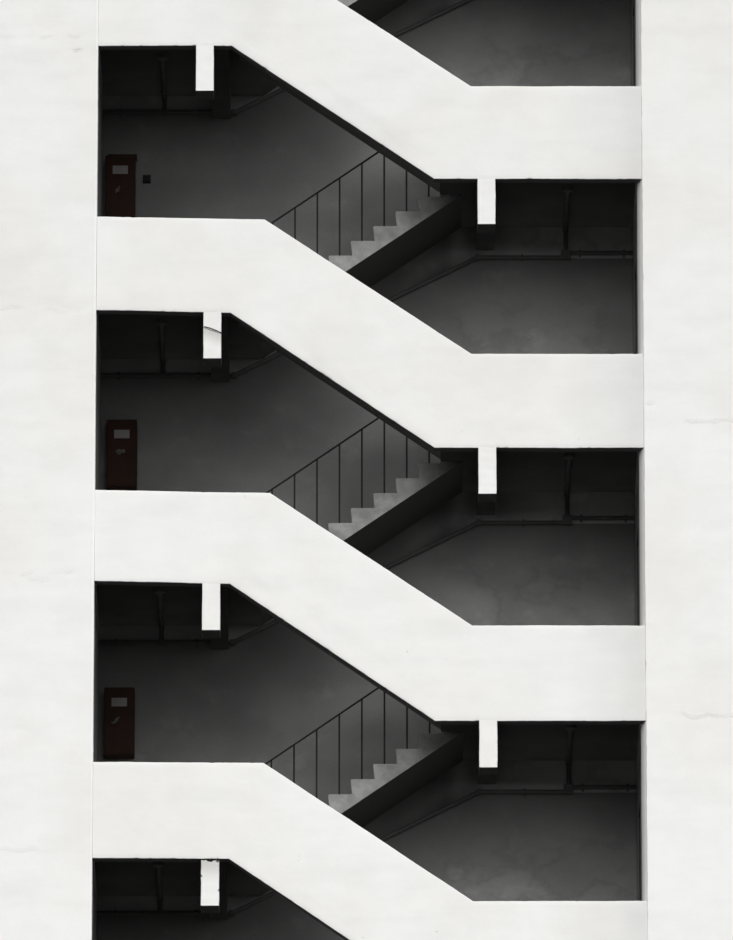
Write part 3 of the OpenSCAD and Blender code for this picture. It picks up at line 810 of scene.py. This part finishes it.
def stub(side, k, low, high, seed):
    """One stub. A crack is the drops below the band where it starts and ends. A cavity is (share
    across, drop below the band, width, height, depth)."""
    (low_x, low_y, low_z), (high_x, high_y, high_z) = low, high
    z = stations(low_z, high_z + STUB_LAP, 0.006)
    radius = STUB_ARRIS * (1.2 + 0.4 * waver(z, 0.03, seed)) + chips(z, seed + 1, 5, 0.008, 0.02)
    from_end = 1 - np.clip((z - low_z) / STUB_ARRIS, 0, 1)
    inset = STUB_ARRIS * (1 - np.sqrt(1 - from_end**2))
    left = low_x + inset + 0.0015 * waver(z, 0.12, seed + 2)
    right = high_x - inset + 0.0015 * waver(z, 0.12, seed + 3)
    z, x, y = worn_slab(z, left, right, low_y + inset[:, None], high_y, radius, radius, 26)
    across = (x - low_x) / (high_x - low_x)
    front = np.clip((high_y - y) / (high_y - low_y), 0, 1)
    y = y + front * 0.0008 * ripple(x, z, 0.15, seed + 4)
    if (side, k) in CRACKS:
        start, end = CRACKS[side, k]
        crack_z = high_z - start - (end - start) * np.clip(across, 0, 1) ** 1.5
        y = y + front * (0.018 * np.exp(-(((z - crack_z) / 0.007) ** 2)) - 0.003 * (z < crack_z))
    for share, below, wide, tall, deep in CAVITIES.get((side, k), ()):
        away = ((across - share) * (high_x - low_x) / wide) ** 2 + ((z - high_z + below) / tall) ** 2
        y = y + front * deep * np.exp(-(away**2)) * (1 + 0.3 * ripple(x, z, 0.03, seed + 5))
    return skin(np.stack([x, y, z], axis=-1))


def stub_boxes(node):
    """Low and high corner of each stub in a node that holds one a storey, from the lowest up."""
    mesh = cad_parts[node].data
    points = np.empty(3 * len(mesh.vertices))
    mesh.vertices.foreach_get("co", points)
    points = points.reshape(-1, 3)
    points = points[np.argsort(points[:, 2])].reshape(len(STOREYS), -1, 3)
    return np.stack([points.min(axis=1), points.max(axis=1)], axis=1)


for side, seed in (("left", 500), ("right", 600)):
    boxes = stub_boxes(f"{side}_stubs")
    stubs = [stub(side, k, low, high, seed + 10 * k) for k, (low, high) in zip(STOREYS, boxes)]
    add_piece(f"{side}_piers", joined(stubs), pier_paint, [f"{side}_stubs"])
    print(side, "stubs at x", [round(low[0], 3) for low, high in boxes])

# %% [markdown]
# ## Flights
# Each flight has nine risers that lean back from their nosings, and a soffit that follows the slope.
# Feet have rounded the nosings and worn the front of each tread hollow in the middle of the flight.
# The outline is a ring, and the path goes across the flight from one string to the other.

# %% Flights
RISERS = 9
RAKE = 0.018
NOSING = 0.010
NOSING_WEAR = 0.006
TREAD_WEAR = 0.004
riser_h = storey_h / (2 * RISERS)
going = (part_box("rear_flight_3")[1].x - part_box("rear_flight_3")[0].x) / RISERS


def steps_outline(nosing, worn, seed, on_ground):
    """Up the steps and back along the soffit, as pairs of run and height."""
    turn = np.linspace(0, np.pi / 2, 5)
    arc = nosing * np.stack([1 - np.cos(turn), np.sin(turn) - 1], axis=-1)
    uneven = np.random.default_rng(seed).uniform(0, 0.003, RISERS)
    steps = [] if on_ground else [(0.0, 0.0)]
    for i in range(RISERS):
        steps.append((i * going + RAKE, i * riser_h))
        steps += [(i * going + uneven[i] + run, (i + 1) * riser_h - worn + rise) for run, rise in arc]
    head = RISERS * going
    steps += [(head, RISERS * riser_h), (head, RISERS * riser_h - slab_t)]
    steps += [(slab_t * going / riser_h, 0.0)] if on_ground else [(0.0, -slab_t)]
    return np.array(steps)


def flight(node, foot_x, foot_z, way, on_ground, seed):
    """A flight that climbs in the given way along x from its foot."""
    low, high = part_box(node)
    rings = []
    for y in stations(low.y, high.y, 0.05, low.y + 0.008, high.y - 0.008):
        worn = math.exp(-(((y - (low.y + high.y) / 2) / 0.28) ** 2))
        broken = 0.005 if y in (low.y, high.y) else 0.0
        nosing = NOSING + NOSING_WEAR * worn + broken
        run, rise = steps_outline(nosing, TREAD_WEAR * worn, seed, on_ground).T
        rings.append(np.stack([foot_x + way * run, y + 0 * run, foot_z + rise], axis=-1))
    return skin(np.array(rings))


for k in STOREYS:
    rear, front = f"rear_flight_{k}", f"front_flight_{k}"
    up_right = flight(rear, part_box(rear)[0].x, half_z[k], 1, False, 700 + k)
    add_piece(f"rear_steps_{k}", up_right, step_finish, [rear])
    up_left = flight(front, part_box(front)[1].x, floor_z[k - 1], -1, k == 1, 720 + k)
    add_piece(f"front_steps_{k}", up_left, step_finish, [front])
print("a flight has", piece_triangles["rear_steps_3"], "triangles")

# %% [markdown]
# ## Small steel parts
# Handles, hinges, saddles and lids are small, but they tell how a thing is used and how big it is.
# Two shapes make all of them: a block with bevelled edges, and a round rod between two points.

# %% Block and rod
def block(low, high, bevel=0.002):
    """A box with bevelled edges: four rings along z, of eight points each."""
    (x0, y0, z0), (x1, y1, z1) = low, high
    c, rings = bevel, []  # c is short for chamfer
    for z, inset in ((z0, c), (z0 + c, 0), (z1 - c, 0), (z1, c)):
        a0, a1, b0, b1 = x0 + inset, x1 - inset, y0 + inset, y1 - inset
        rings.append([(a0 + c, b0, z), (a1 - c, b0, z), (a1, b0 + c, z), (a1, b1 - c, z),
                      (a1 - c, b1, z), (a0 + c, b1, z), (a0, b1 - c, z), (a0, b0 + c, z)])
    return skin(np.array(rings))


def rod(start, end, radius, sides=16, bevel=0.0015):
    """A round rod with bevelled ends: circles across the way from start to end."""
    start, end = np.array(start, float), np.array(end, float)
    way = (end - start) / np.linalg.norm(end - start)
    aside = np.cross(way, (0, 0, 1) if abs(way[2]) < 0.9 else (1, 0, 0))
    aside /= np.linalg.norm(aside)
    turn = np.linspace(0, 2 * np.pi, sides, endpoint=False)[:, None]
    circle = np.cos(turn) * aside + np.sin(turn) * np.cross(way, aside)
    return skin(np.array([start + (radius - bevel) * circle, start + bevel * way + radius * circle,
                          end - bevel * way + radius * circle, end + (radius - bevel) * circle]))


# %% [markdown]
# The cabinets keep their bodies from the frame and get hinges. The highest one that can be seen has
# a loose lid. Each door has a blank plate held by two rivets and a lever, and no two levers were
# left standing alike.

# %% Cabinet parts
CABINET_X = {1: 0.066, 2: 0.066, 3: 0.075, 4: 0.038, 5: 0.066}
CABINET_W, CABINET_H, CABINET_D, CABINET_TOP = 0.340, 0.785, 0.180, 2.225
PLATE_X, PLATE_DROP, PLATE_W, PLATE_H = 0.084, 0.125, 0.172, 0.100
LEVER_X, LEVER_DROP = 0.140, {1: 0.385, 2: 0.385, 3: 0.385, 4: 0.420, 5: 0.385}
LEVER_ANGLE = {1: 20, 2: 225, 3: 0, 4: 57, 5: 35}
OUT = np.array([0.0, -1.0, 0.0])

plates, handles, hinges = [], [], []
for k in STOREYS:
    x, top, door_y = left_x + CABINET_X[k], half_z[k] + CABINET_TOP, rear_y - CABINET_D
    plate_x, plate_top = x + PLATE_X, top - PLATE_DROP
    plates.append(block((plate_x, door_y - 0.003, plate_top - PLATE_H),
                        (plate_x + PLATE_W, door_y, plate_top), 0.001))
    for rivet_x in (plate_x + 0.008, plate_x + PLATE_W - 0.008):
        rivet = np.array([rivet_x, door_y - 0.002, plate_top - PLATE_H / 2])
        plates.append(rod(rivet + 0.003 * OUT, rivet, 0.004, 8, 0.001))
    disc = np.array([x + LEVER_X, door_y, top - LEVER_DROP[k]])
    handles.append(rod(disc, disc + 0.010 * OUT, 0.022 if k in (2, 4) else 0.031, 24))
    turn = math.radians(LEVER_ANGLE[k])
    along = np.array([math.cos(turn), 0, math.sin(turn)])
    tip = disc + 0.018 * OUT + 0.048 * along
    handles.append(rod(disc + 0.018 * OUT - 0.042 * along, tip, 0.009, 12))
    if k == 2:
        handles.append(rod(tip - (0.024, 0, 0.004), tip + (0.030, 0, -0.004), 0.013, 12))
    if k == 3:
        handles.append(rod(tip - 0.004 * OUT, tip + 0.010 * OUT, 0.022, 20))
    for height in (0.12, CABINET_H - 0.18):
        pin = np.array([x + CABINET_W - 0.008, door_y + 0.008, top - CABINET_H + height])
        hinges.append(rod(pin, pin + (0, 0, 0.06), 0.008, 12))
x, top = left_x + CABINET_X[4], half_z[4] + CABINET_TOP
hinges.append(block((x + 0.030, rear_y - CABINET_D - 0.022, top - 0.030),
                    (x + CABINET_W + 0.016, rear_y - 0.06, top + 0.004)))
add_piece("label_plates", joined(plates), plate_enamel, ["cabinet_plates"])
add_piece("cabinet_levers", joined(handles), lever_steel, ["cabinet_plates"])
add_piece("cabinet_hinges", joined(hinges), cabinet_paint)

# %% [markdown]
# The conduits follow the stair up: level under a half landing, up along the rear flight, and level
# again under a floor landing. Saddles hold them to the wall every metre or so. A branch runs along
# each soffit to a round light point near the front.

# %% Conduits
TUBE, SADDLE, LIGHT_Y = 0.025, 0.010, -0.255
JOINT_BOX, BRANCH_BOX, BOX_D = 0.06, 0.11, 0.06
tube_y = rear_y - TUBE
(foot_x, foot_drop), (head_x, head_drop) = CONDUIT_LINE
foot_x, head_x, half_light_x, floor_light_x = (left_x + v for v in (foot_x, head_x, 0.7, 5.242))


def tube(start, end):
    return rod(start, end, TUBE, 20, 0.0005)


def saddle(middle, way, wall):
    """A strap round a tube that runs the given way, with a foot on each side against the wall."""
    middle, way, wall = (np.array(v, float) for v in (middle, way, wall))
    reach = 0.048 * np.abs(np.cross(way, wall)) + SADDLE * np.abs(way)
    back = middle + TUBE * wall
    low, high = np.sort([back - reach - 0.004 * wall, back + reach], axis=0)
    strap = rod(middle - SADDLE * way, middle + SADDLE * way, TUBE + 0.002, 16, 0.0005)
    return [strap, block(low, high, 0.001)]


def wall_box(x, z, width, depth=BOX_D):
    """A box on the rear wall with a lid that is a little smaller."""
    half, lid, face = width / 2, width / 2 - 0.006, rear_y - depth
    return [block((x - half, face, z - half), (x + half, rear_y, z + half), 0.004),
            block((x - lid, face - 0.003, z - lid), (x + lid, face + 0.001, z + lid), 0.001)]


runs = []
for k in STOREYS:
    low_z, high_z = half_z[k] + foot_drop, floor_z[k] + head_drop
    step_z = high_z + 0.055
    for x0, z0, x1, z1 in (
            (left_x, low_z, left_x + 1.25, low_z), (left_x + 1.45, low_z, foot_x, low_z),
            (foot_x, low_z, head_x, high_z), (head_x, high_z, floor_light_x, high_z),
            (floor_light_x, step_z, right_x, step_z)):
        runs.append(tube((x0, tube_y, z0), (x1, tube_y, z1)))
    for x, z in ((foot_x, low_z), (head_x, high_z), (half_light_x, low_z)):
        runs += wall_box(x, z, JOINT_BOX)
    runs += wall_box(floor_light_x, (high_z + step_z) / 2, BRANCH_BOX)
    for run, z in ((0.2, low_z), (1.1, low_z), (4.75, high_z), (5.4, step_z), (5.9, step_z)):
        runs += saddle((left_x + run, tube_y, z), (1, 0, 0), (0, 1, 0))
    for x, level, main_z in ((half_light_x, half_z[k], low_z), (floor_light_x, floor_z[k], high_z)):
        soffit = level - slab_t
        runs.append(tube((x, LIGHT_Y, soffit - TUBE), (x, rear_y - 0.03, soffit - TUBE)))
        runs.append(tube((x, tube_y, main_z), (x, tube_y, soffit - TUBE)))
        runs += wall_box(x, soffit - JOINT_BOX / 2, JOINT_BOX)
        for low, high, radius in ((0.050, 0.0, 0.060), (0.056, 0.048, 0.050)):
            runs.append(rod((x, LIGHT_Y, soffit - low), (x, LIGHT_Y, soffit - high), radius, 32, 0.002))
        for y in (0.05, 0.55, 0.95):
            runs += saddle((x, y, soffit - TUBE), (0, 1, 0), (0, 0, 1))
add_piece("conduit_runs", joined(runs), conduit_paint, ["conduits"])

call_x, call_z = left_x + 0.506, half_z[4] + 1.995
button = rod((call_x, rear_y - 0.044, call_z), (call_x, rear_y - 0.038, call_z), 0.014, 16)
call_box = wall_box(call_x, call_z, 0.086, 0.037) + [button]
add_piece("call_box", joined(call_box), call_paint, ["conduits"])

# %% [markdown]
# Every fire door has a lever, three hinges, a closer and a kick plate on its leaf, and the balusters
# stand on small round feet.

# %% Doors and baluster feet
door_low, door_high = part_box("fire_doors")
FRAME_W, LEAF_BACK = 0.045, 0.033


def door_furniture(level):
    """Lever, kick plate, closer with its arm, and three hinges of the door at a level."""
    def at(out, y, height):
        return door_low.x + LEAF_BACK - out, y, level + height

    near, far = door_low.y + FRAME_W, door_high.y - FRAME_W
    parts = [
        block(at(0.004, near + 0.045, 0.93), at(0, near + 0.085, 1.15), 0.001),
        rod(at(0.050, near + 0.065, 1.06), at(0.003, near + 0.065, 1.06), 0.009, 12),
        rod(at(0.046, near + 0.060, 1.06), at(0.046, near + 0.185, 1.06), 0.009, 12),
        block(at(0.003, near + 0.02, 0.015), at(0, far - 0.02, 0.215), 0.001),
        block(at(0.045, far - 0.30, 1.975), at(0, far - 0.06, 2.035), 0.004),
        rod(at(0.030, far - 0.10, 2.045), at(0.030, far - 0.38, 2.045), 0.007, 8),
        rod(at(0.030, far - 0.10, 2.030), at(0.030, far - 0.10, 2.050), 0.010, 12)]
    for height in (0.22, 1.02, 1.82):
        parts.append(rod(at(0.006, far - 0.002, height), at(0.006, far - 0.002, height + 0.10), 0.009, 12))
    return parts


furniture = [part for level in floor_z.values() for part in door_furniture(level)]
add_piece("door_furniture", joined(furniture), lever_steel)

feet = []
for k in STOREYS:
    rear_x, front_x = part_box(f"rear_flight_{k}")[0].x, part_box(f"front_flight_{k}")[1].x
    for i in range(RISERS + 2):
        run, rise = (i - 0.5) * going, min(i, RISERS) * riser_h
        rear = (rear_x + run, 0.040, half_z[k] + rise)
        front = (front_x - run, -0.090, floor_z[k - 1] + rise)
        for x, y, z in (rear, front):
            feet.append(rod((x, y, z - 0.002), (x, y, z + 0.004), 0.024, 12, 0.001))
add_piece("baluster_feet", joined(feet), rail_paint)
print("all added pieces:", sum(piece_triangles.values()), "triangles")
print("the largest piece:", max(piece_triangles.values()), "triangles")

# %% [markdown]
# ## Floor and light
# The light is a soft dome that is brighter at the front and above, as an overcast sky is for a
# building that faces it. Its strength is a base and a swell, which goes with the square of the cosine
# to the brightest place. The floor is pale to the eye and throws little light up, so that the
# undersides stay dark. The camera stands below the floor's level, so the floor lets its rays
# through from underneath.

# %% Floor
FLOOR_HALF = 300.0


def backdrop_rays(tree):
    """One for the camera's own rays, and for those that metal and glass send on to the backdrop."""
    rays = add_node(tree, "ShaderNodeLightPath").outputs
    seen = rays["Is Camera Ray"]
    for kind in ("Is Glossy Ray", "Is Transmission Ray"):
        seen = number(tree, "MAXIMUM", seen, rays[kind])
    return seen


def choose(tree, factor, first, second):
    return add_node(tree, "ShaderNodeMixShader", (0, factor), (1, first), (2, second)).outputs[0]


floor_mesh = bpy.data.meshes.new("studio_floor")
corners = [(FLOOR_HALF * x, FLOOR_HALF * y, 0) for x, y in ((-1, -1), (1, -1), (1, 1), (-1, 1))]
floor_mesh.from_pydata(corners, [], [(0, 1, 2, 3)])
floor = bpy.data.objects.new("studio_floor", floor_mesh)
bpy.context.scene.collection.objects.link(floor)
floor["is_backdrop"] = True

floor_coat = Finish("studio_floor", roughness=0.9, specular=0.0)
floor_coat.shader.inputs["Base Color"].default_value = (0.80, 0.80, 0.80, 1)
tree = floor_coat.tree
dark = add_node(tree, "ShaderNodeBsdfDiffuse", ("Color", (0.07, 0.07, 0.07, 1))).outputs[0]
top_side = choose(tree, backdrop_rays(tree), dark, floor_coat.shader.outputs[0])
backfacing = add_node(tree, "ShaderNodeNewGeometry").outputs["Backfacing"]
from_below = floor_coat.times(backfacing, add_node(tree, "ShaderNodeLightPath").outputs["Is Camera Ray"])
clear = add_node(tree, "ShaderNodeBsdfTransparent").outputs[0]
floor_surface = choose(tree, from_below, top_side, clear)
tree.links.new(floor_surface, tree.nodes["Material Output"].inputs["Surface"])
floor_mesh.materials.append(floor_coat.material)

# %% Dome of light
DOME_BASE = 0.9
DOME_FRONT = 2.5
FRONT_RISE = math.radians(8)
BACKDROP = (0.86, 0.86, 0.86, 1)

world = bpy.data.worlds.new("soft_dome")
world.use_nodes = True
bpy.context.scene.world = world
tree = world.node_tree
tree.nodes.clear()
direction = add_node(tree, "ShaderNodeTexCoord").outputs["Generated"]
brightest = (0, -math.cos(FRONT_RISE), math.sin(FRONT_RISE))
toward = add_node(tree, "ShaderNodeVectorMath", (0, direction), (1, brightest), operation="DOT_PRODUCT")
ahead = number(tree, "MAXIMUM", toward.outputs["Value"], 0.0)
swell = number(tree, "MULTIPLY_ADD", number(tree, "MULTIPLY", ahead, ahead), DOME_FRONT, DOME_BASE)
dome = add_node(tree, "ShaderNodeBackground", ("Strength", swell)).outputs[0]
backdrop = add_node(tree, "ShaderNodeBackground", ("Color", BACKDROP)).outputs[0]
sky = choose(tree, backdrop_rays(tree), dome, backdrop)
add_node(tree, "ShaderNodeOutputWorld", ("Surface", sky))
print("dome strength from", DOME_BASE, "to", DOME_BASE + DOME_FRONT)

# %% [markdown]
# The last cell notes the box of all that is shown.

# %% Size and finish
low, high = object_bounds()
print("visual box:", [round(v, 3) for v in (*low, *high)])
